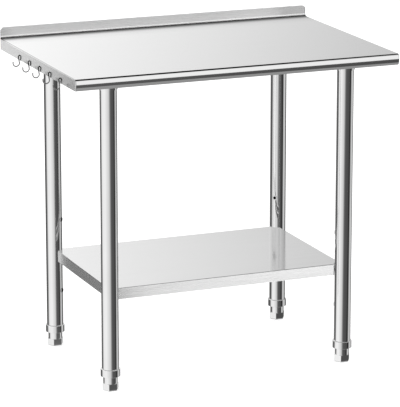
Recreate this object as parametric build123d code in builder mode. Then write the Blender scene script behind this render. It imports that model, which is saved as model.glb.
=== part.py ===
"""Stainless work table with a folded top, a bolted undershelf, screw-in feet and side hooks.

Frame: millimetres, +Z up, front of the table towards -Y. The origin lies on the floor under
the middle of the whole object, hooks included, so the table's own middle plane is at x = MID_X.
"""
from math import asin, atan2, cos, degrees, hypot, radians, sin
import os

from build123d import *

os.makedirs("parts", exist_ok=True)

# ---- driving dimensions ----------------------------------------------------------------------
TOP_W = 900.0  # worktop, left to right
TOP_D = 600.0  # worktop, front of the nose to the back
TOP_H = 850.0  # working height
SHEET = 1.2  # sheet metal of the top and the shelf
BEND_R = 2.0  # outside radius of the side folds
NOSE_FOLD_R = 6.0  # outside radius of the fold between the deck and the nose
SKIRT_H = 30.0  # height of the folded edge all round
NOSE_BULGE = 5.0  # how far the rounded front stands out in front of its own ends
HEM = 12.0  # inward return under the skirts
HEM_CORNER_R = 6.0
SPLASH_H = 30.0  # backsplash above the deck
SPLASH_CORNER_R = 11.0
SPLASH_FOLD_R = 1.1  # each side of the doubled crest
COVE_R = 7.0  # between the deck and the backsplash

LEG_D = 45.0
LEG_WALL = 1.2
LEG_SPAN_X = 666.0  # between leg centres, left to right
LEG_SPAN_Y = 434.0  # between leg centres, front to back

CHANNEL_W = 60.0  # hat channels under the deck and the shelf: crown width
CHANNEL_BRIM = 18.0
CHANNEL_H = 18.0
CHANNEL_WALL = 1.5
CHANNEL_OVERRUN = 60.0  # past the leg centres
SHELF_CHANNEL_L = 600.0

SOCKET_WALL = 1.6
SOCKET_BOTTOM = 802.0
SOCKET_PLATE = 3.0
SOCKET_PLATE_SIDE = 58.0
SOCKET_PLATE_ROUND = 3.2
SLIP = 0.1  # gap all round between a leg and what it plugs into
LEG_TOP_GAP = 0.5  # between the leg and the plate that closes its socket

BOSS_D = 12.0  # weld boss that carries the set screw
BOSS_REACH = 8.0
BOSS_LIFT = 1.0  # between the socket's lower rim and the boss
SET_SCREW_D = 6.0
SET_SCREW_L = 9.0
SET_SCREW_CHAMFER = 0.5
HEX_KEY_D = 3.0

SHELF_TOP = 272.0
SHELF_FLANGE = 30.0
SHELF_W = 662.0
SHELF_D = 430.0
SHELF_CORNER_GAP = 1.7  # between a leg and the shelf's hollowed corner

LEVEL_PITCH = 100.0  # the shelf can be bolted at three heights
SHELF_LEVEL = SHELF_TOP - SHELF_FLANGE / 2
LEVELS = [SHELF_LEVEL - LEVEL_PITCH, SHELF_LEVEL, SHELF_LEVEL + LEVEL_PITCH]

NUT_HOLE_D = 12.1  # hole in the leg for a blind rivet nut
NUT_BODY_D = 12.0
NUT_FLANGE_D = 13.2
NUT_FLANGE_T = 0.8
NUT_BORE_D = 8.5  # tapped M10
NUT_LENGTH = 16.0
NUT_BULGE_D = 14.6  # where the nut has swollen behind the leg's wall
NUT_BULGE_L = 3.0
NUT_BULGE_GAP = 1.5
BOLT_THREAD_D = 8.4
BOLT_SHANK_D = 9.8
BOLT_HOLE_D = 10.8
BOLT_HEAD_AF = 16.0
BOLT_HEAD_H = 6.4
BOLT_TIP = 13.0  # thread past the leg's surface
WASHER_D = 20.0
WASHER_T = 2.0

COLLAR_D = 51.5  # collar pressed on the bottom of a leg
COLLAR_TOP = 58.5
COLLAR_H = 20.0
COLLAR_FLOOR = 2.0
COLLAR_ROUND = 1.0
PRESS_GAP = 0.05  # left between pressed pieces
FOOT_NECK_D = 38.5
FOOT_NECK_TOP = 61.0
FOOT_NECK_CHAMFER = 1.0
FOOT_CLEARANCE = 0.3
FOOT_HEX_AF = 38.5
FOOT_HEX_H = 19.5
FOOT_HEX_ROUND = 4.0
STUD_D = 16.0
STUD_TOP = 126.0
STUD_CHAMFER = 1.5
STUD_SINK = 30.0  # how deep the stud is pressed into the foot
STUD_CLEARANCE = 0.07
PLUG_BOTTOM = 78.0  # threaded plug pressed into the leg
PLUG_H = 26.0

HOOK_WIRE_D = 3.2
HOOK_END_ROUND = 0.64
HOOK_COUNT = 5
HOOK_PITCH = 80.0
HOOK_FIRST_Y = 137.0  # rearmost hook
HOOK_EYE_R = 4.2  # centreline radius of the curl through the skirt
HOOK_PIVOT_H = 828.8
HOOK_HOLE_D = 5.6
HOOK_HOLE_H = 833.9
HOOK_BOWL_R = 8.8  # centreline radius of the hanging bowl
HOOK_BOWL_OUT = 9.8  # bowl centre outside the skirt
HOOK_BOWL_H = 813.0
HOOK_TIP = 5.0  # straight tip above the bowl
HOOK_INNER_ANGLE = 5.0  # where the curl ends inside the skirt

# ---- derived places --------------------------------------------------------------------------
MID_X = (HOOK_BOWL_OUT + HOOK_BOWL_R + HOOK_WIRE_D / 2) / 2
LEFT = MID_X - TOP_W / 2
RIGHT = MID_X + TOP_W / 2
FRONT = -TOP_D / 2
BACK = TOP_D / 2
SKIRT_BOTTOM = TOP_H - SKIRT_H
DECK_UNDERSIDE = TOP_H - SHEET
SHELF_BOTTOM = SHELF_TOP - SHELF_FLANGE
LEG_R = LEG_D / 2
SOCKET_TOP = DECK_UNDERSIDE - CHANNEL_H
LEG_TOP = SOCKET_TOP - SOCKET_PLATE - LEG_TOP_GAP
BOSS_HEIGHT = SOCKET_BOTTOM + BOSS_LIFT + BOSS_D / 2
COLLAR_BOTTOM = COLLAR_TOP - COLLAR_H
LEG_BOTTOM = COLLAR_BOTTOM + COLLAR_FLOOR
CORNER_R = LEG_R + SHELF_CORNER_GAP
NUT_FACE_R = LEG_R + NUT_FLANGE_T
WASHER_R = CORNER_R + SHEET
HEAD_R = WASHER_R + WASHER_T

# Each corner: name, side (-1 left, +1 right), end (-1 front, +1 rear).
CORNERS = [
    ("front_left", -1, -1),
    ("front_right", 1, -1),
    ("rear_left", -1, 1),
    ("rear_right", 1, 1),
]


def leg_centre(side, end):
    """Plan position of a leg's axis."""
    return MID_X + side * LEG_SPAN_X / 2, end * LEG_SPAN_Y / 2


def inward_plane(side, end, height, radius):
    """Plane square to the line from a leg's axis towards the middle of the table.

    Its origin is at the given height and radius from the leg's axis, its normal points inward.
    """
    x, y = leg_centre(side, end)
    inward = Vector(-side, -end, 0).normalized()
    return Plane(
        origin=Vector(x, y, height) + inward * radius,
        x_dir=Vector(0, 0, 1).cross(inward),
        z_dir=inward,
    )


# ---- worktop: deck, nose, skirts, hems and backsplash in one folded sheet ---------------------
side_plane = Plane(origin=(LEFT, 0, 0), x_dir=(0, 1, 0), z_dir=(1, 0, 0))
nose_y = FRONT + NOSE_BULGE

with BuildSketch(side_plane) as top_outline:
    with BuildLine():
        ThreePointArc(
            (nose_y, SKIRT_BOTTOM), (FRONT, TOP_H - SKIRT_H / 2), (nose_y, TOP_H)
        )
        Polyline((nose_y, TOP_H), (BACK, TOP_H), (BACK, SKIRT_BOTTOM), (nose_y, SKIRT_BOTTOM))
    make_face()
    nose_corner = top_outline.vertices().group_by(Axis.Y)[-1].sort_by(Axis.X)[0]
    fillet(nose_corner, NOSE_FOLD_R)

with BuildSketch(side_plane.offset(SHEET)) as top_hollow:
    add(top_outline.sketch_local)
    offset(amount=-SHEET, kind=Kind.INTERSECTION, mode=Mode.REPLACE)

splash_front = BACK - 2 * SHEET
splash_top = TOP_H + SPLASH_H

with BuildSketch(side_plane) as splash_outline:
    with BuildLine():
        RadiusArc(
            (splash_front - COVE_R, TOP_H), (splash_front, TOP_H + COVE_R), -COVE_R
        )
        Polyline(
            (splash_front, TOP_H + COVE_R),
            (splash_front, splash_top),
            (BACK, splash_top),
            (BACK, DECK_UNDERSIDE),
            (splash_front - COVE_R, DECK_UNDERSIDE),
            (splash_front - COVE_R, TOP_H),
        )
    make_face()

with BuildPart() as worktop:
    extrude(top_outline.sketch, amount=TOP_W)
    side_folds = worktop.edges().filter_by(Axis.Y).group_by(Axis.Z)[-1]
    fillet(side_folds, BEND_R)
    extrude(top_hollow.sketch, amount=TOP_W - 2 * SHEET, mode=Mode.SUBTRACT)
    with BuildSketch(Plane.XY.offset(SKIRT_BOTTOM)):
        with Locations((MID_X, (nose_y + BACK) / 2)):
            RectangleRounded(TOP_W - 2 * HEM, BACK - nose_y - 2 * HEM, HEM_CORNER_R)
    extrude(amount=SHEET, mode=Mode.SUBTRACT)
    # The backsplash is folded double and stands flush with the back and both ends.
    extrude(splash_outline.sketch, amount=TOP_W)
    splash_ends = worktop.edges().filter_by(Axis.Y).group_by(Axis.Z)[-1]
    fillet(splash_ends, SPLASH_CORNER_R)
    splash_crest = worktop.edges().filter_by(Axis.X).group_by(Axis.Z)[-1]
    fillet(splash_crest, SPLASH_FOLD_R)
    with BuildSketch(side_plane):
        with Locations([(HOOK_FIRST_Y - i * HOOK_PITCH, HOOK_HOLE_H) for i in range(HOOK_COUNT)]):
            Circle(HOOK_HOLE_D / 2)
    extrude(amount=2 * SHEET, mode=Mode.SUBTRACT)
worktop.part.label = "worktop"
export_step(worktop.part, "parts/worktop.step")

# ---- hat channels: one shape, under the deck and under the shelf ------------------------------
def hat_outline(plane):
    """Hat section with its brims on the plane's line y = 0 and its crown below."""
    half_crown = CHANNEL_W / 2
    half_brim = half_crown + CHANNEL_BRIM
    with BuildSketch(plane) as hat:
        with BuildLine():
            Polyline(
                (-half_brim, -CHANNEL_WALL),
                (-half_crown, -CHANNEL_WALL),
                (-half_crown, -CHANNEL_H),
                (half_crown, -CHANNEL_H),
                (half_crown, -CHANNEL_WALL),
                (half_brim, -CHANNEL_WALL),
                (half_brim, 0),
                (half_crown - CHANNEL_WALL, 0),
                (half_crown - CHANNEL_WALL, CHANNEL_WALL - CHANNEL_H),
                (CHANNEL_WALL - half_crown, CHANNEL_WALL - CHANNEL_H),
                (CHANNEL_WALL - half_crown, 0),
                (-half_brim, 0),
                (-half_brim, -CHANNEL_WALL),
            )
        make_face()
    return hat.sketch


channel_length = LEG_SPAN_X + 2 * CHANNEL_OVERRUN
for row, end in (("front", -1), ("rear", 1)):
    channel_start = Plane(
        origin=(MID_X - channel_length / 2, end * LEG_SPAN_Y / 2, DECK_UNDERSIDE),
        x_dir=(0, 1, 0),
        z_dir=(1, 0, 0),
    )
    with BuildPart() as top_channel:
        extrude(hat_outline(channel_start), amount=channel_length)
    top_channel.part.label = f"top_channel_{row}"
    export_step(top_channel.part, f"parts/top_channel_{row}.step")

# ---- leg sockets, welded under the channels ---------------------------------------------------
for corner, side, end in CORNERS:
    x, y = leg_centre(side, end)
    boss_plane = inward_plane(side, end, BOSS_HEIGHT, 0)
    with BuildPart() as socket:
        with BuildSketch(Plane((x, y, SOCKET_TOP - SOCKET_PLATE))):
            RectangleRounded(SOCKET_PLATE_SIDE, SOCKET_PLATE_SIDE, SOCKET_PLATE_ROUND)
        extrude(amount=SOCKET_PLATE)
        with BuildSketch(Plane((x, y, SOCKET_BOTTOM))):
            Circle(LEG_R + SLIP + SOCKET_WALL)
        extrude(until=Until.NEXT)
        with BuildSketch(boss_plane):
            Circle(BOSS_D / 2)
        extrude(amount=LEG_R + BOSS_REACH)
        with BuildSketch(Plane((x, y, SOCKET_BOTTOM))):
            Circle(LEG_R + SLIP)
        extrude(amount=LEG_TOP + SLIP - SOCKET_BOTTOM, mode=Mode.SUBTRACT)
        with BuildSketch(boss_plane):
            Circle(SET_SCREW_D / 2)
        extrude(amount=LEG_D, mode=Mode.SUBTRACT)
    socket.part.label = f"leg_socket_{corner}"
    export_step(socket.part, f"parts/leg_socket_{corner}.step")

# ---- set screws: four separate solids in one node ---------------------------------------------
screws = []
for corner, side, end in CORNERS:
    tip = inward_plane(side, end, BOSS_HEIGHT, LEG_R + SLIP)
    with BuildPart() as screw:
        with BuildSketch(tip):
            Circle(SET_SCREW_D / 2 - SLIP / 2)
        extrude(amount=SET_SCREW_L)
        chamfer(screw.edges().filter_by(GeomType.CIRCLE), SET_SCREW_CHAMFER)
        with BuildSketch(tip.offset(SET_SCREW_L)):
            RegularPolygon(HEX_KEY_D / 2, 6, major_radius=False)
        extrude(amount=-SET_SCREW_L / 2, mode=Mode.SUBTRACT)
    screws.append(screw.part)
socket_set_screws = Compound(label="socket_set_screws", children=screws)
export_step(socket_set_screws, "parts/socket_set_screws.step")

# ---- legs -------------------------------------------------------------------------------------
for corner, side, end in CORNERS:
    x, y = leg_centre(side, end)
    with BuildPart() as leg:
        with BuildSketch(Plane((x, y, LEG_BOTTOM))):
            Circle(LEG_R)
            Circle(LEG_R - LEG_WALL, mode=Mode.SUBTRACT)
        extrude(amount=LEG_TOP - LEG_BOTTOM)
        for level in LEVELS:
            with BuildSketch(inward_plane(side, end, level, 0)):
                Circle(NUT_HOLE_D / 2)
            extrude(amount=LEG_D, mode=Mode.SUBTRACT)
    leg.part.label = f"leg_{corner}"
    export_step(leg.part, f"parts/leg_{corner}.step")

# ---- blind rivet nuts: three per leg, all in one node -----------------------------------------
nuts = []
for corner, side, end in CORNERS:
    for level in LEVELS:
        seat = inward_plane(side, end, level, LEG_R)
        with BuildPart() as nut:
            with BuildSketch(seat):
                Circle(NUT_FLANGE_D / 2)
            extrude(amount=NUT_FLANGE_T)
            with BuildSketch(seat):
                Circle(NUT_BODY_D / 2)
            extrude(amount=-NUT_LENGTH)
            with BuildSketch(seat.offset(-LEG_WALL - NUT_BULGE_GAP)):
                Circle(NUT_BULGE_D / 2)
            extrude(amount=-NUT_BULGE_L)
            with BuildSketch(seat.offset(NUT_FLANGE_T)):
                Circle(NUT_BORE_D / 2)
            extrude(amount=-NUT_LENGTH - NUT_FLANGE_T, mode=Mode.SUBTRACT)
        nuts.append(nut.part)
leg_rivet_nuts = Compound(label="leg_rivet_nuts", children=nuts)
export_step(leg_rivet_nuts, "parts/leg_rivet_nuts.step")

# ---- undershelf: a tray with folded edges and hollowed corners that fit the legs --------------
leg_axes = [leg_centre(side, end) for corner, side, end in CORNERS]

shelf_plane = Plane.XY.offset(SHELF_BOTTOM)

with BuildSketch(shelf_plane) as shelf_outline:
    with Locations((MID_X, 0)):
        Rectangle(SHELF_W, SHELF_D)
    with Locations(leg_axes):
        Circle(CORNER_R, mode=Mode.SUBTRACT)

with BuildSketch(shelf_plane.offset(SHEET)) as shelf_hollow:
    add(shelf_outline.sketch_local)
    offset(amount=-SHEET, kind=Kind.INTERSECTION, mode=Mode.REPLACE)

with BuildSketch(shelf_plane) as shelf_mouth:
    with Locations((MID_X, 0)):
        Rectangle(SHELF_W - 2 * HEM, SHELF_D - 2 * HEM)
    with Locations(leg_axes):
        Circle(CORNER_R + SHEET, mode=Mode.SUBTRACT)

with BuildPart() as undershelf:
    extrude(shelf_outline.sketch, amount=SHELF_FLANGE)
    shelf_edges = undershelf.edges().group_by(Axis.Z)[-1].filter_by(GeomType.LINE)
    fillet(shelf_edges, BEND_R)
    extrude(shelf_hollow.sketch, amount=SHELF_FLANGE - 2 * SHEET, mode=Mode.SUBTRACT)
    extrude(shelf_mouth.sketch, amount=SHEET, mode=Mode.SUBTRACT)
    for corner, side, end in CORNERS:
        with BuildSketch(inward_plane(side, end, SHELF_LEVEL, LEG_R)):
            Circle(BOLT_HOLE_D / 2)
        extrude(amount=WASHER_D, mode=Mode.SUBTRACT)
undershelf.part.label = "undershelf"
export_step(undershelf.part, "parts/undershelf.step")

shelf_channel_start = Plane(
    origin=(MID_X - SHELF_CHANNEL_L / 2, 0, SHELF_TOP - SHEET),
    x_dir=(0, 1, 0),
    z_dir=(1, 0, 0),
)
with BuildPart() as shelf_channel:
    extrude(hat_outline(shelf_channel_start), amount=SHELF_CHANNEL_L)
shelf_channel.part.label = "shelf_channel"
export_step(shelf_channel.part, "parts/shelf_channel.step")

# ---- shelf bolts and washers: one of each at every leg ----------------------------------------
bolts = []
washers = []
for corner, side, end in CORNERS:
    with BuildPart() as bolt:
        with BuildSketch(inward_plane(side, end, SHELF_LEVEL, LEG_R - BOLT_TIP)):
            Circle(BOLT_THREAD_D / 2)
        extrude(amount=NUT_FACE_R - LEG_R + BOLT_TIP)
        with BuildSketch(inward_plane(side, end, SHELF_LEVEL, NUT_FACE_R)):
            Circle(BOLT_SHANK_D / 2)
        extrude(amount=HEAD_R - NUT_FACE_R)
        with BuildSketch(inward_plane(side, end, SHELF_LEVEL, HEAD_R)):
            RegularPolygon(BOLT_HEAD_AF / 2, 6, major_radius=False)
        extrude(amount=BOLT_HEAD_H)
    bolts.append(bolt.part)
    with BuildPart() as washer:
        with BuildSketch(inward_plane(side, end, SHELF_LEVEL, WASHER_R)):
            Circle(WASHER_D / 2)
            Circle(BOLT_HOLE_D / 2, mode=Mode.SUBTRACT)
        extrude(amount=WASHER_T)
    washers.append(washer.part)
shelf_bolts = Compound(label="shelf_bolts", children=bolts)
export_step(shelf_bolts, "parts/shelf_bolts.step")
shelf_washers = Compound(label="shelf_washers", children=washers)
export_step(shelf_washers, "parts/shelf_washers.step")

# ---- leg bottoms: collar and threaded plug, then the screw-in foot with its stud ---------------
for corner, side, end in CORNERS:
    x, y = leg_centre(side, end)

    with BuildPart() as collar:
        with BuildSketch(Plane((x, y, COLLAR_BOTTOM))):
            Circle(COLLAR_D / 2)
        extrude(amount=COLLAR_H)
        fillet(collar.edges().filter_by(GeomType.CIRCLE), COLLAR_ROUND)
        with BuildSketch(Plane((x, y, LEG_BOTTOM - PRESS_GAP))):
            Circle(LEG_R + PRESS_GAP)
        extrude(amount=COLLAR_H, mode=Mode.SUBTRACT)
        with BuildSketch(Plane((x, y, COLLAR_BOTTOM))):
            Circle(FOOT_NECK_D / 2 + FOOT_CLEARANCE)
        extrude(amount=COLLAR_H, mode=Mode.SUBTRACT)
    collar.part.label = f"leg_collar_{corner}"
    export_step(collar.part, f"parts/leg_collar_{corner}.step")

    with BuildPart() as plug:
        with BuildSketch(Plane((x, y, PLUG_BOTTOM))):
            Circle(LEG_R - LEG_WALL - PRESS_GAP)
            Circle(STUD_D / 2 + STUD_CLEARANCE, mode=Mode.SUBTRACT)
        extrude(amount=PLUG_H)
    plug.part.label = f"leg_plug_{corner}"
    export_step(plug.part, f"parts/leg_plug_{corner}.step")

    with BuildPart() as foot:
        with BuildSketch(Plane((x, y, 0))):
            RegularPolygon(FOOT_HEX_AF / 2, 6, major_radius=False)
        extrude(amount=FOOT_HEX_H)
        fillet(foot.faces().sort_by(Axis.Z)[0].edges(), FOOT_HEX_ROUND)
        with BuildSketch(Plane((x, y, FOOT_HEX_H))):
            Circle(FOOT_NECK_D / 2)
        extrude(amount=FOOT_NECK_TOP - FOOT_HEX_H)
        chamfer(foot.faces().sort_by(Axis.Z)[-1].edges(), FOOT_NECK_CHAMFER)
        with BuildSketch(Plane((x, y, FOOT_NECK_TOP))):
            Circle(STUD_D / 2 + PRESS_GAP)
        extrude(amount=-STUD_SINK, mode=Mode.SUBTRACT)
    foot.part.label = f"foot_{corner}"
    export_step(foot.part, f"parts/foot_{corner}.step")

    with BuildPart() as stud:
        with BuildSketch(Plane((x, y, FOOT_NECK_TOP - STUD_SINK))):
            Circle(STUD_D / 2)
        extrude(amount=STUD_TOP - FOOT_NECK_TOP + STUD_SINK)
        chamfer(stud.faces().sort_by(Axis.Z)[-1].edges(), STUD_CHAMFER)
    stud.part.label = f"foot_stud_{corner}"
    export_step(stud.part, f"parts/foot_stud_{corner}.step")

# ---- utensil hooks on the left skirt ----------------------------------------------------------
pivot_x = LEFT + SHEET / 2
bowl_x = LEFT - HOOK_BOWL_OUT
reach_x = bowl_x - pivot_x
reach_z = HOOK_BOWL_H - HOOK_PIVOT_H
# The shank is the straight line that touches both the curl and the bowl and crosses between them.
shank_angle = atan2(reach_z, reach_x) + asin(
    (HOOK_EYE_R + HOOK_BOWL_R) / hypot(reach_x, reach_z)
)
touch_angle = degrees(shank_angle) - 90
touch_x = cos(radians(touch_angle))
touch_z = sin(radians(touch_angle))

for number in range(1, HOOK_COUNT + 1):
    hook_y = HOOK_FIRST_Y - (number - 1) * HOOK_PITCH
    hook_plane = Plane(origin=(0, hook_y, 0), x_dir=(1, 0, 0), z_dir=(0, -1, 0))
    with BuildPart() as hook:
        with BuildLine(hook_plane) as wire:
            CenterArc(
                (pivot_x, HOOK_PIVOT_H),
                HOOK_EYE_R,
                HOOK_INNER_ANGLE,
                360 + touch_angle - HOOK_INNER_ANGLE,
            )
            Line(
                (pivot_x + HOOK_EYE_R * touch_x, HOOK_PIVOT_H + HOOK_EYE_R * touch_z),
                (bowl_x - HOOK_BOWL_R * touch_x, HOOK_BOWL_H - HOOK_BOWL_R * touch_z),
            )
            CenterArc(
                (bowl_x, HOOK_BOWL_H), HOOK_BOWL_R, 180 + touch_angle, -360 - touch_angle
            )
            Line(
                (bowl_x - HOOK_BOWL_R, HOOK_BOWL_H),
                (bowl_x - HOOK_BOWL_R, HOOK_BOWL_H + HOOK_TIP),
            )
        with BuildSketch(Plane(origin=wire.wire() @ 0, z_dir=wire.wire() % 0)):
            Circle(HOOK_WIRE_D / 2)
        sweep()
        fillet(hook.faces().filter_by(GeomType.PLANE).edges(), HOOK_END_ROUND)
    hook.part.label = f"side_hook_{number}"
    export_step(hook.part, f"parts/side_hook_{number}.step")
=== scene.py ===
"""Looks of the stainless work table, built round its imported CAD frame.

Everything is in metres, in the CAD frame: +Z up, the front of the table towards -Y.
"""

from math import cos, pi, radians, sin

import bmesh
import bpy
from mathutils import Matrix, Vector


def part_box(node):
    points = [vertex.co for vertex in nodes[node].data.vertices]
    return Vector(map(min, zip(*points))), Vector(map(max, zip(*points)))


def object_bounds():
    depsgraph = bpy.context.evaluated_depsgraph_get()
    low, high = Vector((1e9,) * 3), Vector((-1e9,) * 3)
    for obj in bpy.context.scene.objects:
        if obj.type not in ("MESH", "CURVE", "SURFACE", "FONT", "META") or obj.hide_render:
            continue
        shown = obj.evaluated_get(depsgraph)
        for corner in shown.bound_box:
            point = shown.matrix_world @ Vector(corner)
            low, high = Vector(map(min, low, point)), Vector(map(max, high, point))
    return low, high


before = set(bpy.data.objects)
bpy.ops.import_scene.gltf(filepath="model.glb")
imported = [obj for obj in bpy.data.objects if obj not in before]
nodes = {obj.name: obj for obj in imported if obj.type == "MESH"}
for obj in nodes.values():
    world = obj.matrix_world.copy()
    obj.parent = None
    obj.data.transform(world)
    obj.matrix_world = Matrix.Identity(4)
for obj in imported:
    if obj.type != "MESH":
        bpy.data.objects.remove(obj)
cad_low, cad_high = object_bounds()

# ---- places taken from the frame ----------------------------------------------------------------
top_low, top_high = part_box("worktop")
mid_x = (top_low.x + top_high.x) / 2
centre = (cad_low + cad_high) / 2

# ---- camera and studio --------------------------------------------------------------------------
CAMERA_AZIMUTH = 22.26  # degrees towards the left end from straight in front
CAMERA_ELEVATION = 14.27
CAMERA_DISTANCE = 7.449
CAMERA_AIM = Vector((0.0139, -0.0110, -0.0192))  # from the middle of the object
LENS = 245.1  # millimetres
SENSOR = 36.0

TENT_RADIUS = 2.2
TENT_TOP = 3.0
TENT_BOTTOM = -1.8
TENT_SEGMENTS = 96
TENT_LID = 0.03  # brightness of its dark lid
TENT_GAIN = 1.41  # strength of a panel of brightness 1
FLOOR_SIZE = 60.0
FLOOR_GLOW = 0.55

STEEL = 0.66  # share of the light that bare stainless steel gives back


# ---- node helpers -------------------------------------------------------------------------------
def add(tree, kind, inputs=None, **settings):
    """A new shader node. Each input is a value or the socket that feeds it."""
    node = tree.nodes.new(kind)
    for name, value in settings.items():
        setattr(node, name, value)
    for name, value in (inputs or {}).items():
        if isinstance(value, bpy.types.NodeSocket):
            tree.links.new(value, node.inputs[name])
        else:
            node.inputs[name].default_value = value
    return node


def maths(tree, operation, *values):
    """The result of a Math node."""
    return add(tree, "ShaderNodeMath", dict(enumerate(values)), operation=operation).outputs[0]


def smooth_step(tree, value, low, high):
    """0 below low, 1 above high and a smooth rise between."""
    node = add(
        tree,
        "ShaderNodeMapRange",
        {"Value": value, "From Min": low, "From Max": high},
        interpolation_type="SMOOTHSTEP",
    )
    return node.outputs["Result"]


def band(tree, value, low, high, soft):
    """1 between low and high and 0 outside."""
    rise = smooth_step(tree, value, low - soft, low + soft)
    fall = smooth_step(tree, value, high - soft, high + soft)
    return maths(tree, "SUBTRACT", rise, fall)


def ramp(tree, value, stops):
    """A colour ramp through (position, brightness) stops."""
    node = add(tree, "ShaderNodeValToRGB", {"Fac": value})
    elements = node.color_ramp.elements
    while len(elements) < len(stops):
        elements.new(0.5)
    for element, (position, brightness) in zip(elements, stops):
        element.position = position
        element.color = (brightness, brightness, brightness, 1)
    return node.outputs["Color"]


def mix(tree, share, first, second):
    """first where share is 0 and second where it is 1, on plain numbers."""
    node = add(tree, "ShaderNodeMix", {0: share, 2: first, 3: second}, data_type="FLOAT")
    return node.outputs[0]


def new_material(name):
    """An empty node material, and its tree."""
    material = bpy.data.materials.new(name)
    material.use_nodes = True
    material.node_tree.nodes.clear()
    return material, material.node_tree


# ---- studio -------------------------------------------------------------------------------------
# Brightness round the tent wall, as (degrees to the right of the camera's side, brightness).
LOW_RING = [
    (-180, 0.50), (-152, 0.50), (-146, 0.10), (-112, 0.08), (-98, 0.32), (-85, 0.88),
    (-45, 0.92), (-10, 0.70), (0, 0.61), (10, 0.28), (21, 0.10), (45, 0.08), (64, 0.07),
    (68, 0.02), (79, 0.02), (88, 0.38), (98, 0.62), (118, 0.60), (127, 0.10), (160, 0.08),
    (168, 0.50), (180, 0.50),
]
HIGH_RING = [
    (-180, 0.80), (-150, 1.15), (-110, 1.0), (-60, 0.95), (60, 0.90), (110, 0.70),
    (150, 0.45), (180, 0.80),
]
BOTTOM_RING = [
    (-180, 0.5), (-150, 0.3), (-110, 0.5), (-90, 0.95), (-20, 0.9), (10, 0.32), (80, 0.28),
    (110, 0.5), (180, 0.5),
]
HORIZON = 0.68  # height where the low ring meets the high one
HORIZON_BLUR = 0.10
FLAG_BOTTOM = -0.80  # height where the bottom ring meets the low one


def ring(tree, turn, stops):
    """Brightness round the tent for a turn from 0 to 1."""
    return ramp(tree, turn, [((angle + 180) / 360, value) for angle, value in stops])


def tent_material():
    """Three rings of light and dark panels on the tent wall, with a dark lid."""
    material, tree = new_material("tent_light")
    place = add(tree, "ShaderNodeTexCoord").outputs["Object"]
    xyz = add(tree, "ShaderNodeSeparateXYZ", {0: place})
    angle = maths(tree, "ARCTAN2", xyz.outputs["X"], maths(tree, "MULTIPLY", xyz.outputs["Y"], -1.0))
    turn = maths(tree, "MULTIPLY_ADD", angle, 0.5 / pi, 0.5)
    height = xyz.outputs["Z"]
    above_flag = smooth_step(tree, height, FLAG_BOTTOM - HORIZON_BLUR, FLAG_BOTTOM + HORIZON_BLUR)
    above_horizon = smooth_step(tree, height, HORIZON - HORIZON_BLUR, HORIZON + HORIZON_BLUR)
    wall = mix(tree, above_flag, ring(tree, turn, BOTTOM_RING), ring(tree, turn, LOW_RING))
    wall = mix(tree, above_horizon, wall, ring(tree, turn, HIGH_RING))
    lid = smooth_step(tree, height, TENT_TOP - 0.2, TENT_TOP - 0.05)
    light = mix(tree, lid, wall, TENT_LID)
    strength = maths(tree, "MULTIPLY", light, TENT_GAIN)
    shine = add(tree, "ShaderNodeEmission", {"Color": (1, 1, 1, 1), "Strength": strength})
    add(tree, "ShaderNodeOutputMaterial", {"Surface": shine.outputs[0]})
    material.cycles.emission_sampling = "NONE"
    return material


def make_tent():
    """A closed drum of light panels round the table, seen only by what reflects."""
    shape = bmesh.new()
    bmesh.ops.create_cone(
        shape, cap_ends=True, segments=TENT_SEGMENTS, radius1=TENT_RADIUS, radius2=TENT_RADIUS,
        depth=TENT_TOP - TENT_BOTTOM,
    )
    bmesh.ops.translate(shape, verts=shape.verts, vec=(0, 0, (TENT_TOP + TENT_BOTTOM) / 2))
    mesh = bpy.data.meshes.new("light_tent")
    shape.to_mesh(mesh)
    shape.free()
    tent = bpy.data.objects.new("light_tent", mesh)
    bpy.context.scene.collection.objects.link(tent)
    tent.location = (mid_x, 0, 0)
    tent.rotation_euler.z = radians(-CAMERA_AZIMUTH)
    mesh.materials.append(tent_material())
    for kind in ("camera", "diffuse", "shadow", "transmission", "volume_scatter"):
        setattr(tent, f"visible_{kind}", False)


def make_floor():
    """Plain pale floor that casts no shadow and that shiny pieces don't mirror."""
    material, tree = new_material("pale_floor")
    soft = add(tree, "ShaderNodeBsdfDiffuse", {"Color": (0.8, 0.8, 0.8, 1)})
    glow = add(tree, "ShaderNodeEmission", {"Color": (1, 1, 1, 1), "Strength": FLOOR_GLOW})
    both = add(tree, "ShaderNodeAddShader", {0: soft.outputs[0], 1: glow.outputs[0]})
    add(tree, "ShaderNodeOutputMaterial", {"Surface": both.outputs[0]})
    material.cycles.emission_sampling = "NONE"
    half = FLOOR_SIZE / 2
    mesh = bpy.data.meshes.new("floor")
    corners = [(-half, -half, 0), (half, -half, 0), (half, half, 0), (-half, half, 0)]
    mesh.from_pydata(corners, [], [(0, 1, 2, 3)])
    floor = bpy.data.objects.new("floor", mesh)
    bpy.context.scene.collection.objects.link(floor)
    mesh.materials.append(material)
    floor.visible_glossy = False
    floor.visible_shadow = False


# Panels of light: how far out the camera's line goes after the face mirrors it, how far along X
# from there, width and height, all in metres, and power in watts.
FLANGE_PANEL = (1.6, 0.35, 1.4, 0.7, 5.0)
SKIRT_PANEL = (1.0, 0.01, 0.32, 0.5, 0.62)


def make_panel(name, node, middle, target, width, height, power):
    """A soft panel of light that falls on one piece only."""
    data = bpy.data.lights.new(name, "AREA")
    data.shape = "RECTANGLE"
    data.size = width
    data.size_y = height
    data.energy = power
    lamp = bpy.data.objects.new(name, data)
    bpy.context.scene.collection.objects.link(lamp)
    lamp.location = middle
    lamp.rotation_mode = "QUATERNION"
    lamp.rotation_quaternion = (target - middle).to_track_quat("-Z", "Y")
    lit = bpy.data.collections.new(name)
    lit.objects.link(nodes[node])
    lamp.light_linking.receiver_collection = lit


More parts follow.
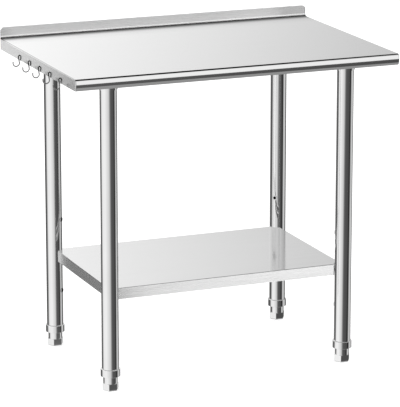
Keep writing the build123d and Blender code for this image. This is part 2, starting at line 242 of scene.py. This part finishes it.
def make_panels():
    """Panels that brighten the shelf's front flange and the left skirt."""
    a, e = radians(CAMERA_AZIMUTH), radians(CAMERA_ELEVATION)
    shelf_low, shelf_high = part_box("undershelf")
    out, along, width, height, power = FLANGE_PANEL
    flange = Vector((mid_x, shelf_low.y, (shelf_low.z + shelf_high.z) / 2))
    mirrored = Vector((sin(a) * cos(e), -cos(a) * cos(e), -sin(e)))
    middle = flange + out * mirrored + Vector((along, 0, 0))
    make_panel("flange_panel", "undershelf", middle, flange, width, height, power)

    out, along, width, height, power = SKIRT_PANEL
    skirt = Vector((top_low.x, top_high.y, top_low.z))
    mirrored = Vector((-sin(a) * cos(e), cos(a) * cos(e), -sin(e)))
    middle = skirt + out * mirrored + Vector((along, 0, 0))
    make_panel("skirt_panel", "worktop", middle, skirt, width, height, power)


def make_world():
    """Even white light from all round."""
    world = bpy.data.worlds.new("studio")
    world.use_nodes = True
    background = world.node_tree.nodes["Background"]
    background.inputs["Color"].default_value = (1, 1, 1, 1)
    background.inputs["Strength"].default_value = 1.0
    bpy.context.scene.world = world


def make_camera():
    """The camera, aimed close to the middle of the object with no lens shift."""
    a, e = radians(CAMERA_AZIMUTH), radians(CAMERA_ELEVATION)
    back = Vector((-sin(a) * cos(e), -cos(a) * cos(e), sin(e)))
    data = bpy.data.cameras.new("camera")
    data.lens = LENS
    data.sensor_width = SENSOR
    data.clip_end = 200
    camera = bpy.data.objects.new("camera", data)
    bpy.context.scene.collection.objects.link(camera)
    camera.location = centre + CAMERA_AIM + back * CAMERA_DISTANCE
    camera.rotation_mode = "QUATERNION"
    camera.rotation_quaternion = (-back).to_track_quat("-Z", "Y")
    bpy.context.scene.camera = camera


# ---- steel --------------------------------------------------------------------------------------
NOSE_START = top_low.y + 0.0085  # the rounded front of the worktop lies before this
SPLASH_HEIGHT = 0.030
DECK_TOP = top_high.z - SPLASH_HEIGHT
SPLASH_START = DECK_TOP + 0.002  # the backsplash stands above this
EDGE = 0.0006  # how softly one finish passes into the next
FOLD_EDGE = 0.0003
FOLD_SHADE = 0.45  # how much of its tint the metal keeps along a fold, darker than light makes it
ANISOTROPY = 0.85  # of the brushed sheets

# Roughness of each face, and the share of STEEL that tints it.
NOSE_ROUGHNESS = 0.06
DECK_ROUGHNESS, DECK_TINT = 0.09, 0.80
SKIRT_ROUGHNESS = 0.17
# Painted light: the backsplash is tinted brighter than bare steel, standing in for the light the
# deck would mirror onto it.
SPLASH_ROUGHNESS, SPLASH_PAINTED_LIGHT_TINT = 0.30, 1.32
SHELF_ROUGHNESS, SHELF_TINT = 0.10, 0.86
# Painted light: the shelf's left flange is tinted brighter than bare steel.
FLANGE_ROUGHNESS, LEFT_FLANGE_PAINTED_LIGHT_TINT = 0.26, 1.25

# How the deck's tint and its share of bare metal fall off towards the backsplash, by the share
# of the way from the middle of the worktop to its back. This is painted shade in the cove, and a
# painted reflection that stands in for the backsplash's mirror image, because
# hide_sheets_from_mirrors leaves that out.
COVE_PAINTED_SHADE = [
    (0.667, 1.0), (0.80, 0.90), (0.833, 0.82), (0.867, 0.69), (0.883, 0.60), (0.90, 0.44),
    (0.913, 0.33), (0.927, 0.22), (0.953, 0.09), (1.0, 0.09),
]
COVE_PAINTED_SHADE_METAL = [
    (0.833, 1.0), (0.867, 0.95), (0.883, 0.85), (0.90, 0.70), (0.913, 0.60), (0.927, 0.50),
    (0.953, 0.30), (1.0, 0.30),
]

leg_low, leg_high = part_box("leg_rear_right")
LEG_RADIUS = (leg_high.x - leg_low.x) / 2
LEG_X = (leg_low.x + leg_high.x) / 2 - mid_x
LEG_Y = (leg_low.y + leg_high.y) / 2


def brush_marks(tree, place, stretch, seed):
    """Noise drawn out by a different amount along each axis."""
    drawn = add(
        tree, "ShaderNodeVectorMath", {0: place, 1: stretch}, operation="MULTIPLY"
    ).outputs[0]
    noise = add(
        tree, "ShaderNodeTexNoise",
        {"Vector": drawn, "W": seed, "Scale": 1.0, "Detail": 2.0}, noise_dimensions="4D",
    )
    return noise.outputs["Fac"]


def sheet_marks(tree, place, fine, along, seed):
    """Brush marks along X, but along Z on the faces that look left or right."""
    normal = add(tree, "ShaderNodeTexCoord").outputs["Normal"]
    facing = add(tree, "ShaderNodeSeparateXYZ", {0: normal}).outputs["X"]
    on_end = maths(tree, "GREATER_THAN", maths(tree, "ABSOLUTE", facing), 0.7)
    level = brush_marks(tree, place, (along, fine, fine), seed)
    upright = brush_marks(tree, place, (fine, fine, along), seed)
    return mix(tree, on_end, level, upright)


def across_grain(tree):
    """Direction square to the brush marks."""
    normal = add(tree, "ShaderNodeTexCoord").outputs["Normal"]
    crossed = add(
        tree, "ShaderNodeVectorMath", {0: normal, 1: (1, 0, 0)}, operation="CROSS_PRODUCT"
    ).outputs[0]
    leaning = add(
        tree, "ShaderNodeVectorMath", {0: crossed, 1: (0, 0.01, 0)}, operation="ADD"
    ).outputs[0]
    return add(tree, "ShaderNodeVectorMath", {0: leaning}, operation="NORMALIZE").outputs[0]


def vary(tree, value, marks, share):
    """value, raised and lowered by a share of itself where the marks are high and low."""
    return add(
        tree, "ShaderNodeMapRange",
        {"Value": marks, "From Min": 0.3, "From Max": 0.7,
         "To Min": maths(tree, "MULTIPLY", value, 1 - share),
         "To Max": maths(tree, "MULTIPLY", value, 1 + share)},
    ).outputs["Result"]


def finish(tree, tint, roughness, bump, more=None):
    """The steel itself, with its colour, gloss and relief, and any more inputs."""
    inputs = {"Base Color": tint, "Metallic": 1.0, "Roughness": roughness, "Normal": bump}
    inputs.update(more or {})
    shader = add(tree, "ShaderNodeBsdfPrincipled", inputs)
    add(tree, "ShaderNodeOutputMaterial", {"Surface": shader.outputs[0]})


def relief(tree, height, depth):
    """Bump that stands out by the given depth, in metres."""
    return add(
        tree, "ShaderNodeBump", {"Height": height, "Strength": 1.0, "Distance": depth}
    ).outputs["Normal"]


def brushed_sheet(name, zones):
    """Satin sheet steel. zones(tree, xyz) gives its roughness, tint and share of bare metal."""
    material, tree = new_material(name)
    place = add(tree, "ShaderNodeTexCoord").outputs["Object"]
    xyz = add(tree, "ShaderNodeSeparateXYZ", {0: place})
    fine = sheet_marks(tree, place, 1500.0, 20.0, 1.0)
    broad = sheet_marks(tree, place, 160.0, 3.0, 2.0)
    roughness, tint, metal = zones(tree, xyz)
    more = {"Anisotropic": ANISOTROPY, "Tangent": across_grain(tree)}
    if metal:
        more.update({"Metallic": metal, "Specular IOR Level": 0.0})
    finish(
        tree,
        vary(tree, tint, broad, 0.015),
        vary(tree, roughness, fine, 0.12),
        relief(tree, fine, 2e-6),
        more,
    )
    return material


def top_zones(tree, xyz):
    """Worktop: satin deck, polished nose, and coarser backsplash and skirts, with painted shade in
    the cove and a backsplash painted lighter.
    """
    x, y, z = xyz.outputs["X"], xyz.outputs["Y"], xyz.outputs["Z"]
    off_nose = smooth_step(tree, y, NOSE_START - EDGE, NOSE_START + EDGE)
    splash = smooth_step(tree, z, SPLASH_START - EDGE, SPLASH_START + EDGE)
    on_deck = smooth_step(tree, z, DECK_TOP - 0.003, DECK_TOP - 0.001)

    deck_or_splash = mix(tree, splash, DECK_ROUGHNESS, SPLASH_ROUGHNESS)
    sheet = mix(tree, on_deck, SKIRT_ROUGHNESS, deck_or_splash)
    roughness = mix(tree, off_nose, NOSE_ROUGHNESS, sheet)

    # Painted shade and painted reflection: the deck's tint and its bare-metal share drop towards the
    # cove.
    back = maths(tree, "MULTIPLY", y, 1 / top_high.y)
    cove_shade_tint = mix(tree, on_deck, 1.0, ramp(tree, back, COVE_PAINTED_SHADE))
    cove_shade_metal = mix(tree, on_deck, 1.0, ramp(tree, back, COVE_PAINTED_SHADE_METAL))
    deck = maths(tree, "MULTIPLY", cove_shade_tint, STEEL * DECK_TINT)
    # Painted light: the backsplash gets its brighter tint here.
    level = mix(tree, splash, deck, STEEL * SPLASH_PAINTED_LIGHT_TINT)
    sideways = maths(tree, "ABSOLUTE", maths(tree, "SUBTRACT", x, mid_x))
    half = (top_high.x - top_low.x) / 2
    end_fold = band(tree, sideways, half - 0.0022, half - 0.0004, FOLD_EDGE)
    at_fold = band(tree, z, DECK_TOP - 0.0038, DECK_TOP - 0.0006, FOLD_EDGE)
    front_fold = maths(tree, "MULTIPLY", at_fold, maths(tree, "SUBTRACT", 1.0, off_nose))
    line = maths(tree, "MAXIMUM", end_fold, front_fold)
    shade = mix(tree, line, 1.0, FOLD_SHADE)
    tint = maths(tree, "MULTIPLY", mix(tree, off_nose, STEEL, level), shade)
    return roughness, tint, mix(tree, splash, cove_shade_metal, 1.0)


def shelf_zones(tree, xyz):
    """Undershelf: satin top and coarser folded edges, with the left end's fold painted lighter."""
    low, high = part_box("undershelf")
    top = smooth_step(tree, xyz.outputs["Z"], high.z - 0.003, high.z - 0.001)
    end = smooth_step(tree, xyz.outputs["X"], low.x + 0.001, low.x + 0.003)
    # Painted light: the left end's fold is tinted brighter than the front one.
    flanges_with_painted_light = mix(tree, end, STEEL * LEFT_FLANGE_PAINTED_LIGHT_TINT, STEEL)
    roughness = mix(tree, top, FLANGE_ROUGHNESS, SHELF_ROUGHNESS)
    return roughness, mix(tree, top, flanges_with_painted_light, STEEL * SHELF_TINT), None


def polished(name, tint, roughness, stretch):
    """Polished steel with fine lines along or round the piece."""
    material, tree = new_material(name)
    place = add(tree, "ShaderNodeTexCoord").outputs["Object"]
    lines = brush_marks(tree, place, stretch, 3.0)
    cloud = add(
        tree, "ShaderNodeTexNoise", {"Vector": place, "Scale": 9.0, "Detail": 3.0}
    ).outputs["Fac"]
    finish(
        tree,
        vary(tree, tint, cloud, 0.02),
        vary(tree, roughness, lines, 0.2),
        relief(tree, lines, 1e-6),
    )
    return material


HOOK_EYE_HEIGHT = 0.0125  # a little over the eye's own height
HOOK_TINT = 0.26
# Painted shade on the hook's eye inside the skirt.
HOOK_EYE_PAINTED_SHADE = 0.03
# Painted shade inside the nuts' bores in the legs.
BORE_PAINTED_SHADE = 0.01


def hook_steel(name):
    """Wire with painted shade where its eye passes through the skirt."""
    material, tree = new_material(name)
    place = add(tree, "ShaderNodeTexCoord").outputs["Object"]
    height = add(tree, "ShaderNodeSeparateXYZ", {0: place}).outputs["Z"]
    eye_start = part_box("side_hook_1")[1].z - HOOK_EYE_HEIGHT
    eye = smooth_step(tree, height, eye_start - 0.001, eye_start + 0.001)
    lines = brush_marks(tree, place, (900, 900, 900), 3.0)
    finish(
        tree,
        vary(tree, mix(tree, eye, HOOK_TINT, HOOK_EYE_PAINTED_SHADE), lines, 0.03),
        vary(tree, 0.2, lines, 0.2),
        relief(tree, lines, 1e-6),
    )
    return material


def nut_steel(name, tint, roughness):
    """Bright steel, with painted shade inside the threaded bores in the legs."""
    material, tree = new_material(name)
    place = add(tree, "ShaderNodeTexCoord").outputs["Object"]
    xyz = add(tree, "ShaderNodeSeparateXYZ", {0: place})
    from_middle = maths(tree, "SUBTRACT", xyz.outputs["X"], mid_x)
    x = maths(tree, "SUBTRACT", maths(tree, "ABSOLUTE", from_middle), LEG_X)
    y = maths(tree, "SUBTRACT", maths(tree, "ABSOLUTE", xyz.outputs["Y"]), LEG_Y)
    squares = maths(tree, "MULTIPLY_ADD", x, x, maths(tree, "MULTIPLY", y, y))
    radius = maths(tree, "SQRT", squares)
    outside = smooth_step(tree, radius, LEG_RADIUS + 0.0003, LEG_RADIUS + 0.0006)
    lines = brush_marks(tree, place, (600, 600, 600), 4.0)
    finish(
        tree,
        vary(tree, mix(tree, outside, BORE_PAINTED_SHADE, tint), lines, 0.03),
        vary(tree, roughness, lines, 0.2),
        relief(tree, lines, 2e-6),
    )
    return material


def dress(name, material):
    """Gives a CAD node its material."""
    for slot in nodes[name].material_slots:
        slot.material = material


def dress_all():
    """Gives every CAD node a finish chosen by its name, in all its material slots."""
    top_sheet = brushed_sheet("top_sheet", top_zones)
    shelf_sheet = brushed_sheet("shelf_sheet", shelf_zones)
    tube = polished("leg_tube", STEEL, 0.045, (60, 60, 900))
    turned = polished("foot_metal", STEEL, 0.06, (60, 60, 2500))
    wire = hook_steel("hook_wire")
    mill = polished("channel_steel", STEEL * 0.85, 0.3, (20, 700, 700))
    bolt = nut_steel("fastener_steel", STEEL * 0.95, 0.18)
    finishes = {
        "worktop": top_sheet, "undershelf": shelf_sheet, "leg_rivet_nuts": bolt,
        "shelf_bolts": bolt, "shelf_washers": bolt, "socket_set_screws": bolt,
    }
    starts = {"side_hook": wire, "foot": turned, "top_channel": mill, "shelf_channel": mill}
    for name in nodes:
        matches = [material for start, material in starts.items() if name.startswith(start)]
        dress(name, finishes.get(name, matches[0] if matches else tube))


def hide_sheets_from_mirrors():
    """Leaves the two sheets out of what the shiny pieces mirror."""
    for name in ("worktop", "undershelf"):
        nodes[name].visible_glossy = False


bpy.context.scene.view_settings.view_transform = "Standard"
make_camera()
make_world()
make_floor()
make_tent()
make_panels()
dress_all()
hide_sheets_from_mirrors()
